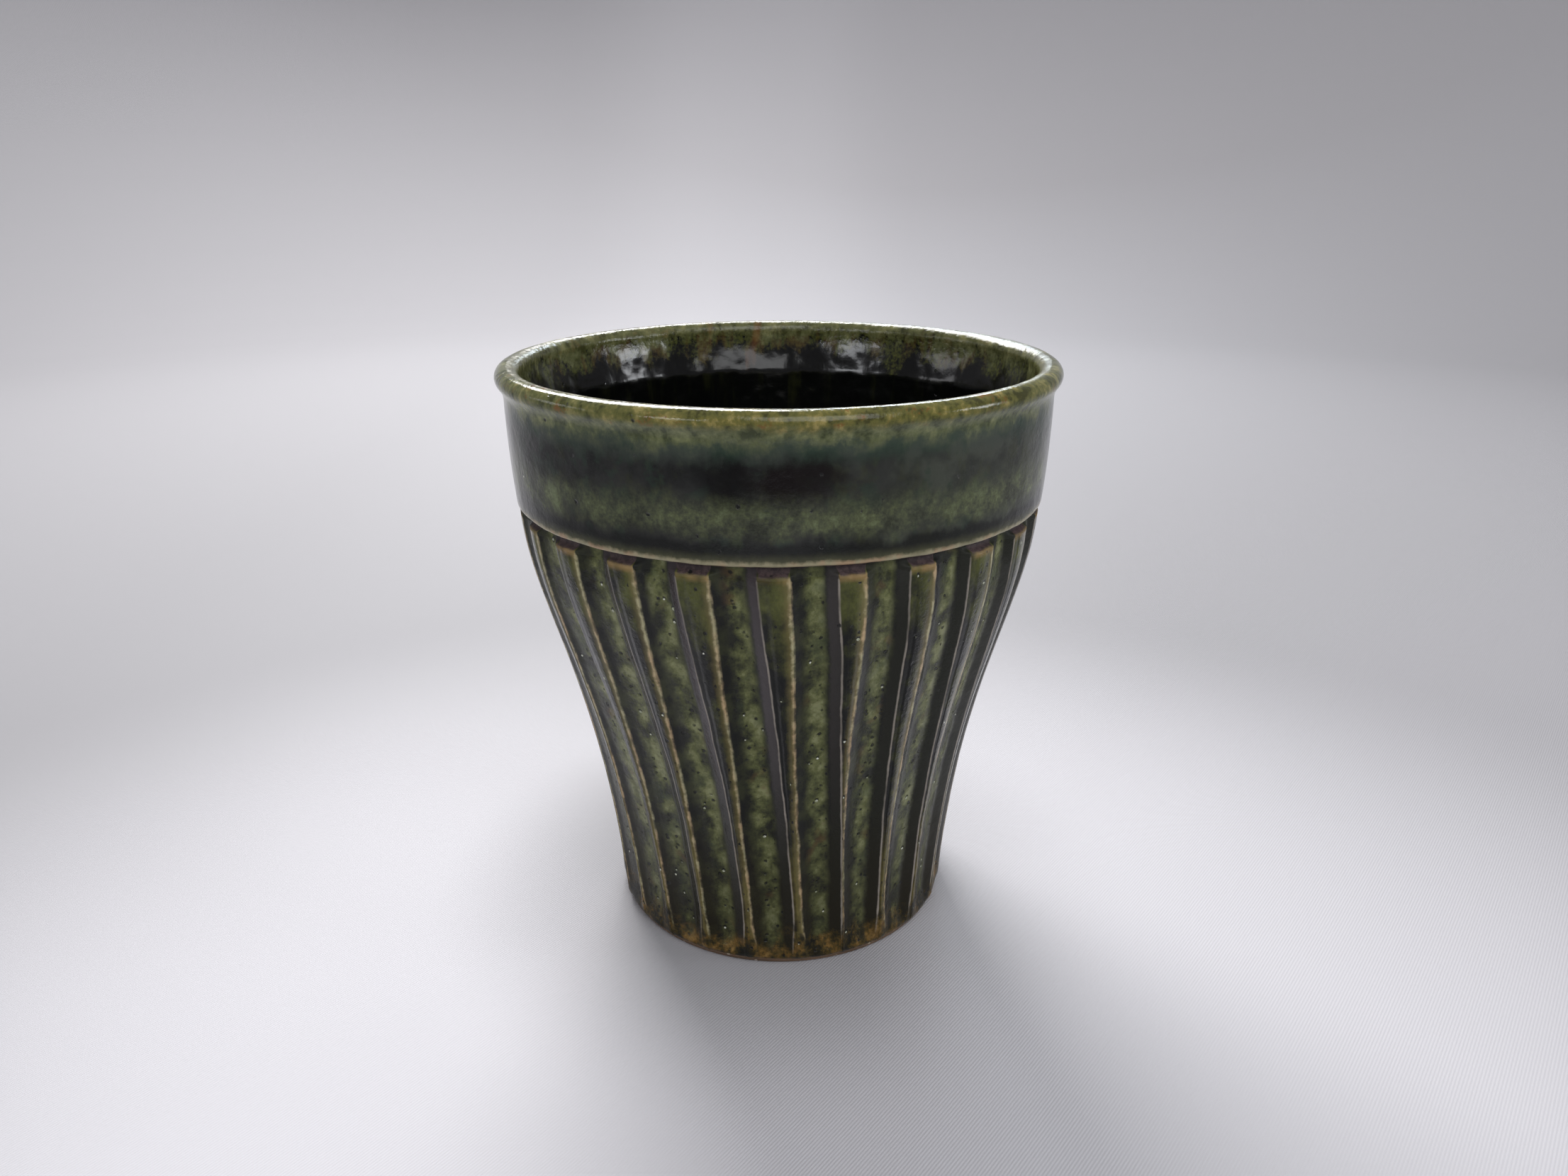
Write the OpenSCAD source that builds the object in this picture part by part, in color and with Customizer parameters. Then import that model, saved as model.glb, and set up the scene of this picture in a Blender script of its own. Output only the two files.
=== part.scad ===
// A wheel-thrown stoneware drinking cup. A smooth collar stands over a wall carved with upright
// flutes, and a glassy coat covers the clay inside and out, down to a bare turned foot.
// Millimetres, +Z up, the origin on the table under the middle of the foot, the front towards -Y.

/* [Form] */
// Height from the table to the crest of the lip
cup_h = 95; // [88:0.5:110]
// Widest diameter, over the outside of the lip
lip_d = 88.6; // [86:0.2:96]
// Thickness of the rolled lip, glaze included
lip_t = 3.8; // [3.2:0.1:5]
// How far the lip stands out past the top of the collar
lip_flare = 1.1; // [0.6:0.1:2]
// Height over which the lip flares out
flare_h = 4; // [3:0.5:8]
// Height of the collar, from its lower edge to the crest of the lip
collar_h = 21.2; // [18:0.2:26]
// How far the collar draws in from its top to its lower edge
collar_draw = 0.7; // [0:0.1:1.5]
// How far the fluted wall stands back under the lower edge of the collar
collar_step = 0.4; // [0.2:0.1:0.8]
// Diameter of the fluted wall where the glaze stops over the foot
wall_foot_d = 58.2; // [58:0.2:66]

/* [Walls] */
// Whole thickness of the wall at the collar, glaze included
collar_wall_t = 4.3; // [4:0.1:5]
// Whole thickness of the wall at its foot, glaze included
foot_wall_t = 5.2; // [4.4:0.1:6.5]
// Thickness of the clay floor over the hollow under the foot
floor_t = 5; // [3.5:0.1:7]
// Thickness of the glaze on the clay
glaze_t = 0.5; // [0.3:0.05:0.6]
// Depth of the inside crease below the crest of the lip
crease_drop = 9; // [7:0.5:12]
// Radius between the inside floor and the inside wall
well_fillet = 6; // [3:0.5:9]

/* [Foot] */
// How far the foot draws in below the edge of the glaze
foot_draw = 0.4; // [0.2:0.1:1.2]
// Width of the ring that stands on the table
foot_ring_w = 5; // [3:0.5:7]
// Depth of the hollow turned under the foot
foot_recess = 2; // [1:0.25:3]
// Height of the bare clay under the edge of the glaze
bare_h = 1; // [0.5:0.25:5]

/* [Flutes] */
// Number of flutes round the cup
flutes = 24; // [18:1:24]
// Width of a flute at mid height
flute_w = 7; // [5:0.1:7]
// Depth of a flute below the land beside it
flute_depth = 1.3; // [0.6:0.1:1.6]
// How far a flute leans round the cup from its top to its foot, in degrees
flute_lean = 6.9; // [0:0.1:15]
// Height of the line cut between the lands and the collar
line_h = 1.6; // [1.2:0.1:2.4]
// Depth of that line
line_depth = 1; // [0.5:0.1:1.3]

/* [Hidden] */

// Flat on the very crest of the lip, where the two coats of glaze meet
crest_w = 0.4;
// Gap left at that seam, because the outer coat is faceted and the liner is round
seam_gap = 0.05;
// Overrun of every cut past the face that it opens
cut_over = 1;

// Where the first flute right of the front stands, as a share of the spacing between flutes
first_share = 0.39;
// Hand-made drift of each flute from an even spacing, as shares of that spacing, from the first
// one round to the right: at the top of the wall, half way down and at the foot
top_drift_shares = [0.03, -0.02, -0.06, 0.01, 0.04, 0.01, -0.05, -0.02, 0.05, 0.03, -0.03, -0.06,
                    0, 0.05, 0.06, 0.01, -0.04, -0.03, 0.03, 0.05, -0.03, 0.01, 0, 0.03];
middle_drift_shares = [0.02, -0.08, 0, 0.02, 0.03, -0.02, -0.04, 0.01, 0.05, 0.02, -0.04, -0.04,
                       0.02, 0.05, 0.04, -0.01, -0.04, -0.02, 0.04, 0.03, -0.03, -0.02, -0.03, -0.01];
foot_drift_shares = [0.09, -0.06, -0.01, 0.02, 0.02, -0.03, -0.03, 0.03, 0.04, 0, -0.05, -0.02,
                     0.03, 0.04, 0.02, -0.02, -0.03, 0, 0.04, 0.02, -0.03, -0.04, -0.05, 0.02];
// Places across a flute from its left edge to its right edge, and the depth at each. The right
// side is the steeper one.
across_shares = [0, 0.2, 0.45, 0.7, 1];
depth_shares = [0, 0.55, 0.92, 1, 0];
// Height up the wall against the depth and the width of a flute there: it runs out at the foot
run_out_shares = [[0, 0.05], [0.015, 0.3], [0.03, 0.65], [0.06, 0.95], [0.1, 1]];
width_shares = [[0, 0.82], [0.1, 0.97], [0.3, 1], [0.6, 1], [0.85, 0.96], [1, 0.92]];
// Steps of the wall's curve, from its top down to the edge of the glaze
wall_step_shares = [1, 0.9, 0.78, 0.65, 0.52, 0.39, 0.26, 0.15, 0.08, 0.04, 0.015, 0];
// Handles of the wall's curve: the reach of the lower and the upper one up and down the wall, and
// how far both lean outwards
rise_share = 0.57;
drop_share = 0.225;
lean_share = 0.054;
// Tightest corner of a path that is moved sideways in full
corner_share = 0.7;

// Half sizes and heights down the cup
lip_r = (lip_t - crest_w) / 2;
seam_r = lip_d / 2 - lip_r - crest_w / 2;
lip_z = cup_h - lip_r;
collar_top_r = lip_d / 2 - lip_flare;
collar_top_z = lip_z - flare_h;
collar_edge_r = collar_top_r - collar_draw;
collar_z = cup_h - collar_h;
shoulder_r = collar_edge_r - collar_step;
shoulder_z = collar_z - line_h;
wall_foot_r = wall_foot_d / 2;
wall_h = shoulder_z - bare_h;
floor_z = foot_recess + floor_t + glaze_t;
foot_r = wall_foot_r - glaze_t - foot_draw;
spacing = 360 / flutes;
around = flutes * len(across_shares);

// Points on a curve with two handles, and along a round
function bezier(p, t) =
    pow(1 - t, 3) * p[0] + 3 * pow(1 - t, 2) * t * p[1] + 3 * (1 - t) * t * t * p[2]
    + pow(t, 3) * p[3];
function arc(centre, radius, from, to, steps) =
    [for (i = [0 : steps])
        let (a = from + (to - from) * i / steps)
        centre + radius * [cos(a), sin(a)]];

// A path moved to its own left
function unit(v) = v / norm(v);
function left_of(a, b) =
    let (u = unit(b - a))
    [-u[1], u[0]];
function moved(path, distance) =
    [for (i = [0 : len(path) - 1])
        let (before = left_of(path[max(i - 1, 0)], path[max(i, 1)]),
             after = left_of(path[min(i, len(path) - 2)], path[min(i + 1, len(path) - 1)]),
             middle = unit(before + after))
        path[i] + middle * distance / max(middle * after, corner_share)];

// The curve of the fluted wall over its lands, from 0 at the glaze edge to 1 at its top
wall_handles = [
    [wall_foot_r, bare_h],
    [wall_foot_r + lean_share * rise_share * wall_h, bare_h + rise_share * wall_h],
    [shoulder_r - lean_share * drop_share * wall_h, shoulder_z - drop_share * wall_h],
    [shoulder_r, shoulder_z]];
function wall_point(t) = bezier(wall_handles, t);

// The glazed outside from the seam on the crest down to the glaze edge, as radius and height
lip_path = concat(
    [[seam_r, cup_h]],
    arc([seam_r + crest_w / 2, lip_z], lip_r, 90, -35, 4));
collar_path = [
    [collar_top_r, collar_top_z],
    [(collar_top_r + collar_edge_r + collar_step) / 2, (collar_top_z + collar_z) / 2],
    [collar_edge_r, collar_z + collar_step],
    [shoulder_r, collar_z]];
line_path = [[shoulder_r - line_depth, shoulder_z + line_h / 2]];
wall_path = [for (t = wall_step_shares) wall_point(t)];
outside = concat(lip_path, collar_path, line_path, wall_path);
clay_outside = moved(outside, -glaze_t);

// What the flutes take off each point of the outside: nothing on the lip and the collar, what is
// left of them behind the cut line, and the whole flute down the wall
function height_share(p) = max(0, min(1, (p[1] - bare_h) / wall_h));
flute_cuts = concat(
    [for (p = lip_path) 0],
    [for (p = collar_path) 0],
    [for (p = line_path) max(0, flute_depth - line_depth)],
    [for (p = wall_path) flute_depth * lookup(height_share(p), run_out_shares)]);

// Angles round one level: even on the lip and the collar, and across every flute below
function drift(i, up) =
    let (n = i % len(top_drift_shares))
    lookup(up, [[0, foot_drift_shares[n]], [0.5, middle_drift_shares[n]], [1, top_drift_shares[n]]]);
function flute_middle(i, up) =
    -90 + (i + first_share + drift(i, up)) * spacing + (1 - up) * flute_lean;
function half_flute(p) = asin(flute_w / 2 * lookup(height_share(p), width_shares) / p[0]);
function even_angles() =
    [for (k = [0 : around - 1])
        -90 + first_share * spacing + (k + 0.5 - len(across_shares) / 2) * 360 / around];
function flute_angles(p) =
    [for (i = [0 : flutes - 1], s = across_shares)
        flute_middle(i, height_share(p)) + (2 * s - 1) * half_flute(p)];
function level_angles(p) = p[1] > collar_z + collar_step ? even_angles() : flute_angles(p);

// Rings of points down a path. The angles come from the glazed outside, so that the coat and the
// clay under it share their facets.
function ring(p, glazed, cut) =
    let (angles = level_angles(glazed))
    [for (k = [0 : around - 1])
        let (r = p[0] - cut * depth_shares[k % len(depth_shares)])
        [r * cos(angles[k]), r * sin(angles[k]), p[1]]];
function rings(path) =
    [for (i = [0 : len(path) - 1])
        each ring(path[i], outside[i], flute_cuts[i])];

// Faces between two rings, and between one ring and a point in its middle
function band_faces(a, b) =
    [for (k = [0 : around - 1])
        let (n = (k + 1) % around)
        each [[a * around + k, b * around + k, a * around + n],
              [a * around + n, b * around + k, b * around + n]]];
function fan_faces(a, middle, up) =
    [for (k = [0 : around - 1])
        let (here = a * around + k, next = a * around + (k + 1) % around)
        up ? [middle, next, here] : [middle, here, next]];

// The outside of the clay as one solid block
module clay_block() {
    count = len(clay_outside);
    centres = (count + 1) * around;
    polyhedron(
        concat(
            rings(clay_outside),
            ring([foot_r, 0], outside[count - 1], 0),
            [[0, 0, clay_outside[0][1]], [0, 0, 0]]),
        concat(
            fan_faces(0, centres, true),
            [for (i = [0 : count - 1]) each band_faces(i + 1, i)],
            fan_faces(count, centres + 1, false)),
        convexity = 6);
}

// The glazed inside from the seam on the crest down to the middle of the floor
function wall_t(t) = foot_wall_t + (collar_wall_t - foot_wall_t) * t;
inner_wall =
    [for (t = wall_step_shares)
        if (wall_point(t)[1] > floor_z + well_fillet) wall_point(t) - [wall_t(t), 0]];
well_r = inner_wall[len(inner_wall) - 1][0] - well_fillet;
inside = concat(
    [[seam_r - seam_gap, cup_h]],
    arc([seam_r - crest_w / 2, lip_z], lip_r, 90, 190, 6),
    [[collar_top_r - collar_wall_t, cup_h - crease_drop],
     [collar_edge_r - collar_wall_t, collar_z]],
    inner_wall,
    arc([well_r, floor_z + well_fillet], well_fillet, 0, -90, 6),
    [[0, floor_z]]);
clay_inside = moved(inside, glaze_t);

module hollow() {
    rotate_extrude($fn = 180)
        polygon(concat([[0, cup_h + cut_over], [clay_inside[0][0], cup_h + cut_over]], clay_inside));
}

module clay_body() {
    color("saddlebrown")
        difference() {
            clay_block();
            hollow();
            translate([0, 0, -cut_over])
                cylinder(r = foot_r - foot_ring_w, h = foot_recess + cut_over, $fn = 180);
        }
}

module outer_glaze() {
    count = len(outside);
    color("darkolivegreen")
        polyhedron(
            concat(rings(outside), rings(clay_outside)),
            concat(
                [for (i = [0 : count - 2]) each band_faces(i + 1, i)],
                [for (i = [0 : count - 2]) each band_faces(count + i, count + i + 1)],
                band_faces(0, count),
                band_faces(2 * count - 1, count - 1)),
            convexity = 6);
}

module liner_glaze() {
    count = len(inside);
    color("darkslategray")
        rotate_extrude($fn = 180)
            polygon(concat(inside, [for (i = [count - 1 : -1 : 0]) clay_inside[i]]));
}

clay_body();
outer_glaze();
liner_glaze();
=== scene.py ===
"""A fluted stoneware cup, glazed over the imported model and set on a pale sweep."""

import math

import bmesh
import bpy
from mathutils import Matrix, Vector, noise


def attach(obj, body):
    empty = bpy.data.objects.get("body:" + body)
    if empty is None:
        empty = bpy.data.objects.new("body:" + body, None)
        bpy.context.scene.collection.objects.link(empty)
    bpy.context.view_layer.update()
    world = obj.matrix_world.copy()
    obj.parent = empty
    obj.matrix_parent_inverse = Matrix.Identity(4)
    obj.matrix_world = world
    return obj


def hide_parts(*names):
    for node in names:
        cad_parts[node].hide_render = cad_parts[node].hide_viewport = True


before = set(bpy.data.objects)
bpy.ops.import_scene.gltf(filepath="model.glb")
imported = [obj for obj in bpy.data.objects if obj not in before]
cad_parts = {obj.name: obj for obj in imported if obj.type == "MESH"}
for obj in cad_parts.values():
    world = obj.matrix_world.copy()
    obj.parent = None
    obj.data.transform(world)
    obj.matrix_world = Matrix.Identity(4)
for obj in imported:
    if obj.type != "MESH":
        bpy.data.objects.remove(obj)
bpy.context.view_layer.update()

bl_info = {
    "name": "Fluted stoneware cup",
    "version": (1, 0, 0),
    "blender": (4, 5, 0),
    "location": "View3D > Sidebar > Cup",
    "description": "Builds a glazed, fluted stoneware cup and the sweep it stands on",
    "category": "Object",
}

MM = 0.001
FLUTES = 24
# Columns of points round the lining
LINING_COLUMNS = 360

# Hand-made drift of each flute from an even spacing, in shares of that spacing
TOP_DRIFT = (0.03, -0.02, -0.06, 0.01, 0.04, 0.01, -0.05, -0.02, 0.05, 0.03, -0.03, -0.06,
             0.0, 0.05, 0.06, 0.01, -0.04, -0.03, 0.03, 0.05, -0.03, 0.01, 0.0, 0.03)
MIDDLE_DRIFT = (0.02, -0.08, 0.0, 0.02, 0.03, -0.02, -0.04, 0.01, 0.05, 0.02, -0.04, -0.04,
                0.02, 0.05, 0.04, -0.01, -0.04, -0.02, 0.04, 0.03, -0.03, -0.02, -0.03, -0.01)
FOOT_DRIFT = (0.09, -0.06, -0.01, 0.02, 0.02, -0.03, -0.03, 0.03, 0.04, 0.0, -0.05, -0.02,
              0.03, 0.04, 0.02, -0.02, -0.03, 0.0, 0.04, 0.02, -0.03, -0.04, -0.05, 0.02)
# Height up the wall against a flute's depth and width there
RUN_OUT = ((0.0, 0.05), (0.015, 0.3), (0.03, 0.65), (0.06, 0.95), (0.1, 1.0))
WIDTHS = ((0.0, 0.82), (0.1, 0.97), (0.3, 1.0), (0.6, 1.0), (0.85, 0.96), (1.0, 0.92))
# Depth across a flute: it slopes in from the left and stands up straight on the right
HOLLOW = ((0.0, 0.0), (0.06, 0.17), (0.13, 0.36), (0.22, 0.58), (0.32, 0.77), (0.43, 0.91),
          (0.54, 0.985), (0.62, 1.0), (0.68, 0.97), (0.73, 0.88), (0.8, 0.67), (0.88, 0.4),
          (0.96, 0.12), (1.0, 0.0))
# Columns of points across a flute and across the land after it
FLUTE_COLUMNS = (0.0, 0.02, *(across for across, depth in HOLLOW[1:-1]))
LAND_COLUMNS = (0.0, 0.08, 0.25, 0.5, 0.75, 0.92)
FLUTE_AND_LAND = len(FLUTE_COLUMNS) + len(LAND_COLUMNS)
WALL_COLUMNS = FLUTES * FLUTE_AND_LAND
# Depth up the line that is cut under the collar
LINE = ((0.0, 0.0), (0.1, 0.25), (0.25, 0.7), (0.45, 0.95), (0.6, 1.0), (0.78, 0.95), (0.9, 0.6),
        (1.0, 0.0))
# Share of the pattern round the cup that a flute takes, the rest being its land
FLUTE_SHARE = 0.65
# Radius of the drum that the glaze's pattern is laid on, in millimetres
DRUM_R = 42
# How far in from a land's left and right edge its glaze may be broken, in millimetres
LEFT_REACH, RIGHT_REACH = 1.0, 1.6


def steps(table, x):
    """Value of a table of pairs at x, straight between its rows."""
    if x <= table[0][0]:
        return table[0][1]
    for (x0, y0), (x1, y1) in zip(table, table[1:]):
        if x <= x1:
            return y0 + (y1 - y0) * (x - x0) / (x1 - x0)
    return table[-1][1]


def smooth(low, high, x):
    """0 below low, 1 above high and an even rise between them."""
    t = max(0.0, min(1.0, (x - low) / (high - low)))
    return t * t * (3 - 2 * t)


def bezier(p, t):
    """A point of a curve with two handles, from 0 at its start to 1 at its end."""
    weights = ((1 - t) ** 3, 3 * (1 - t) ** 2 * t, 3 * (1 - t) * t * t, t ** 3)
    return tuple(sum(w * q[k] for w, q in zip(weights, p)) for k in (0, 1))


def curve(p, count):
    """Points along a curve with two handles, without its first point."""
    return [bezier(p, i / count) for i in range(1, count + 1)]


def arc(centre, radius, start, end, count):
    """Points along a round, in degrees from the outward direction."""
    angles = [math.radians(start + (end - start) * i / count) for i in range(count + 1)]
    return [(centre[0] + radius * math.cos(a), centre[1] + radius * math.sin(a)) for a in angles]


def ripple(x, y, z):
    """Smooth unevenness from -1 to 1, the same in every run."""
    return noise.noise(Vector((x, y, z)))


def a_length(name, description, default, least, most):
    """A length among a group's settings, given in millimetres."""
    return bpy.props.FloatProperty(
        name=name, description=description, default=default * MM, min=least * MM, max=most * MM,
        unit="LENGTH", subtype="DISTANCE")


def a_colour(name, description, default):
    """A colour among a group's settings."""
    return bpy.props.FloatVectorProperty(
        name=name, description=description, default=default, size=3, min=0, max=1, subtype="COLOR")


class CupSizes(bpy.types.PropertyGroup):
    """Sizes of the cup."""

    height: a_length("Height", "From the table to the crest of the lip", 95, 50, 200)
    lip_width: a_length("Lip width", "Widest diameter, over the lip", 88.6, 50, 200)
    lip_thickness: a_length("Lip thickness", "Thickness of the rolled lip", 3.8, 2, 8)
    lip_flare: a_length("Lip flare", "How far the lip stands out past the collar", 1.1, 0, 4)
    flare_height: a_length("Flare height", "Height over which the lip flares out", 4, 1, 12)
    collar_height: a_length("Collar height", "From the collar's lower edge to the crest", 21.2, 10, 60)
    collar_draw: a_length("Collar draw", "How far the collar draws in downwards", 0.7, 0, 4)
    collar_step: a_length("Collar step", "How far the wall stands back under the collar", 0.4, 0, 2)
    wall_foot_width: a_length("Wall width at the foot", "Diameter where the glaze stops", 58.2, 30, 150)
    bare_height: a_length("Bare height", "Bare clay under the edge of the glaze", 1, 0, 10)
    glaze: a_length("Glaze thickness", "Thickness of the glaze on the clay", 0.5, 0.1, 2)
    collar_wall: a_length("Wall at the collar", "Whole thickness of the wall at the collar", 4.3, 2, 12)
    foot_wall: a_length("Wall at the foot", "Whole thickness of the wall at its foot", 5.2, 2, 12)
    floor: a_length("Floor thickness", "Thickness of the clay floor", 5, 1, 15)
    crease_drop: a_length("Crease", "Depth of the inside crease below the crest", 9, 3, 30)
    foot_draw: a_length("Foot draw", "How far the foot draws in below the glaze", 0.4, 0, 4)
    foot_ring: a_length("Foot ring", "Width of the ring that stands on the table", 5, 1, 20)
    foot_recess: a_length("Foot recess", "Depth of the hollow under the foot", 2, 0.2, 8)
    flute_width: a_length("Flute width", "Width of a flute at mid height", 7, 2, 7)
    flute_depth: a_length("Flute depth", "Depth of a flute below its land", 1.3, 0.1, 3)
    flute_lean: bpy.props.FloatProperty(
        name="Flute lean", description="How far a flute leans round from its top to its foot",
        default=math.radians(6.9), min=0, max=math.radians(20), unit="ROTATION", subtype="ANGLE")
    line_height: a_length("Line height", "Height of the line cut under the collar", 1.6, 0.4, 5)
    line_depth: a_length("Line depth", "Depth of the line cut under the collar", 1, 0.1, 3)


class CupColours(bpy.types.PropertyGroup):
    """Colours of the glaze and the clay."""

    deep: a_colour("Deep glaze", "Where the glaze lies thick", (0.004, 0.0045, 0.004))
    green: a_colour("Green glaze", "Mottling where the glaze lies thinner", (0.07, 0.077, 0.027))
    pale: a_colour("Pale green glaze", "The lightest mottling in the flutes", (0.15, 0.16, 0.062))
    halo: a_colour("Halo", "Blue-green where the lip's glaze meets the dark glaze", (0.025, 0.045, 0.031))
    olive: a_colour("Olive glaze", "On the lip and the lands", (0.068, 0.074, 0.017))
    tan: a_colour("Tan edge", "Where the glaze breaks over an edge", (0.3, 0.22, 0.1))
    rust: a_colour("Rust", "Iron in the lip and the foot", (0.16, 0.06, 0.015))
    line: a_colour("Cut line", "Dark glaze in the line cut under the collar", (0.038, 0.025, 0.027))
    clay: a_colour("Clay", "Bare fired clay", (0.16, 0.1, 0.06))


class StageSettings(bpy.types.PropertyGroup):
    """The sweep, the lamps and the camera."""

    backdrop: a_colour("Backdrop", "Colour of the sweep round and behind the cup", (0.585, 0.575, 0.61))
    # The dark card is painted shade: it stands in for the dark room that the glaze reflects
    card: a_colour("Front card", "Colour of the dark card on the floor behind the camera", (0.02, 0.02, 0.02))
    key_power: bpy.props.FloatProperty(
        name="Key lamp", description="Power of the large lamp over the back left",
        default=13.2, min=0, unit="POWER")
    fill_power: bpy.props.FloatProperty(
        name="Window lamps", description="Power of each lamp in front of the cup",
        default=1.2, min=0, unit="POWER")
    lens: bpy.props.FloatProperty(
        name="Lens", description="Focal length on a 36 mm sensor, in millimetres",
        default=26.26, min=10, max=200)
    camera_back: a_length("Camera distance", "From the cup's axis to the camera", 183.492, 50, 2000)
    camera_height: a_length("Camera height", "From the table to the camera", 123.115, 10, 2000)
    camera_pitch: bpy.props.FloatProperty(
        name="Camera pitch", description="How far the camera looks down",
        default=math.radians(20.2687), min=0, max=math.radians(89), unit="ROTATION", subtype="ANGLE")
    camera_yaw: bpy.props.FloatProperty(
        name="Camera yaw", description="How far the camera looks to the right of the axis",
        default=math.radians(0.2111), unit="ROTATION", subtype="ANGLE")
    camera_roll: bpy.props.FloatProperty(
        name="Camera roll", description="How far the camera leans over",
        default=math.radians(-0.2132), unit="ROTATION", subtype="ANGLE")


class Form:
    """Places on the cup that follow from its sizes."""

    # Width of the flat crest, rounding of the lands' edges, and fillet of the well inside
    crest_flat, edge_round, well_fillet = 0.4 * MM, 0.1 * MM, 6 * MM
    # Roundings of the foot's outer edge, of its ring's inner edge and of the hollow under it
    foot_round, ring_round, hollow_round = 0.45 * MM, 0.6 * MM, 0.7 * MM
    # Handles of the wall's S: how far the lower one leans out, and their lengths in shares of the wall
    lean_share, rise_share, drop_share = 0.054, 0.57, 0.225
    # Place of the first flute in shares of the spacing, and the narrowest land in degrees
    first_share, least_land = 0.39, 0.5

    def __init__(self, s):
        self.s = s
        self.lip_r = (s.lip_thickness - self.crest_flat) / 2
        self.seam_r = s.lip_width / 2 - self.lip_r - self.crest_flat / 2
        self.lip_z = s.height - self.lip_r
        self.collar_r = s.lip_width / 2 - s.lip_flare
        self.collar_top = self.lip_z - s.flare_height
        self.edge_r = self.collar_r - s.collar_draw
        self.collar_z = s.height - s.collar_height
        self.shoulder_r = self.edge_r - s.collar_step
        self.shoulder_z = self.collar_z - s.line_height
        self.wall_foot_r = s.wall_foot_width / 2
        self.wall_height = self.shoulder_z - s.bare_height
        self.floor_z = s.foot_recess + s.floor + s.glaze
        self.foot_r = self.wall_foot_r - s.glaze - s.foot_draw
        self.ring_r = self.foot_r - s.foot_ring
        self.spacing = 360 / FLUTES
        points = [self.wall(i / 80) for i in range(81)]
        self.radii = [(self.up(z), r) for r, z in points]
        self.levels = {}

    def wall(self, t):
        """A point of the fluted wall over its lands, from 0 at the foot to 1 at its top."""
        h = self.wall_height
        low, high = self.rise_share * h, self.drop_share * h
        return bezier(((self.wall_foot_r, self.s.bare_height),
                       (self.wall_foot_r + self.lean_share * low, self.s.bare_height + low),
                       (self.shoulder_r - self.lean_share * high, self.shoulder_z - high),
                       (self.shoulder_r, self.shoulder_z)), t)

    def up(self, z):
        """Height up the fluted wall as a share."""
        return max(0.0, min(1.0, (z - self.s.bare_height) / self.wall_height))

    def outside(self):
        """Rows of the outer glaze from the crest down: the lip's round, its flare, the collar, the
        step under it, the cut line, the fluted wall and the rounded edge over the foot."""
        s = self.s
        rows = [(self.seam_r, s.height)]
        rows += arc((self.seam_r + self.crest_flat / 2, self.lip_z), self.lip_r, 90, -35, 11)
        r, z = rows[-1]
        top = (self.collar_r, self.collar_top)
        reach = (z - self.collar_top) * 0.45
        rows += curve(((r, z), (r - 0.574 * reach, z - 0.819 * reach), (top[0], top[1] + reach), top), 7)
        edge = (self.edge_r, self.collar_z + s.collar_step)
        third = (top[1] - edge[1]) / 3
        rows += curve((top, (top[0], top[1] - third),
                       (edge[0] + 0.64 * s.collar_draw, edge[1] + third), edge), 14)
        rows += curve((edge, (edge[0], edge[1] - 0.6 * s.collar_step),
                       (self.shoulder_r + 0.6 * s.collar_step, self.collar_z),
                       (self.shoulder_r, self.collar_z)), 4)
        rows += [(self.shoulder_r, self.shoulder_z + s.line_height * (1 - i / 12)) for i in range(1, 12)]
        rows += [self.wall((1 - i / 94) ** 1.25) for i in range(93)]
        r, z = rows[-1]
        end = (self.wall_foot_r - s.glaze, s.bare_height)
        rows += curve(((r, z), (r - 0.02 * MM, z - 0.25 * MM), (end[0] + 0.3 * MM, end[1]), end), 4)
        return rows

    def under_outside(self):
        """Rows of the clay under the outer glaze, each with the glaze's row over it: every row at the
        cut line, every other row at the foot, and a few between them and on the collar."""
        outside = self.outside()
        on_clay = self.moved(outside, -self.s.glaze)
        picks = [0, 1, 4, 8, 12, 16, 19, 24, 29, 33]
        for i in range(37, len(outside) - 1):
            up = self.up(outside[i][1])
            on_line = outside[i][1] > self.shoulder_z - 0.1 * MM
            if on_line or (up > 0.12 and i % 9 == 0) or (up <= 0.12 and i % 2 == 0):
                picks.append(i)
        return [(on_clay[i], outside[i]) for i in picks + [len(outside) - 1]]

    def inside(self):
        """Rows of the inner glaze from the crest down: the lip's round, the slope to the crease, the
        inside of the collar, the wall, the round of the well and the floor."""
        s = self.s
        rows = [(self.seam_r, s.height)]
        rows += arc((self.seam_r - self.crest_flat / 2, self.lip_z), self.lip_r, 90, 190, 12)
        r, z = rows[-1]
        crease = (self.collar_r - s.collar_wall, s.height - s.crease_drop)
        rows += curve(((r, z), (r + 0.1 * MM, z - 2 * MM),
                       (crease[0] + 0.6 * MM, crease[1] + 2 * MM), crease), 12)
        step = (self.edge_r - s.collar_wall, self.collar_z)
        rows += [(crease[0] + (step[0] - crease[0]) * i / 16, crease[1] + (step[1] - crease[1]) * i / 16)
                 for i in range(1, 17)]
        low = self.floor_z + self.well_fillet
        for i in range(64):
            t = 1 - i / 64
            r, z = self.wall(t)
            if z > low:
                rows.append((r - s.foot_wall - (s.collar_wall - s.foot_wall) * t, z))
        well = rows[-1][0] - self.well_fillet
        rows += arc((well, low), self.well_fillet, 0, -90, 12)
        rows += [(well * (1 - i / 12), self.floor_z) for i in range(1, 13)]
        return rows

    def under_inside(self):
        """Rows of the clay under the inner glaze, each with the glaze's row over it."""
        inside = self.inside()
        on_clay = self.moved(inside, self.s.glaze)
        last = len(inside) - 1
        return [(on_clay[i], inside[i]) for i in range(last + 1) if i % 4 == 0 or i in (1, last)]

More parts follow.
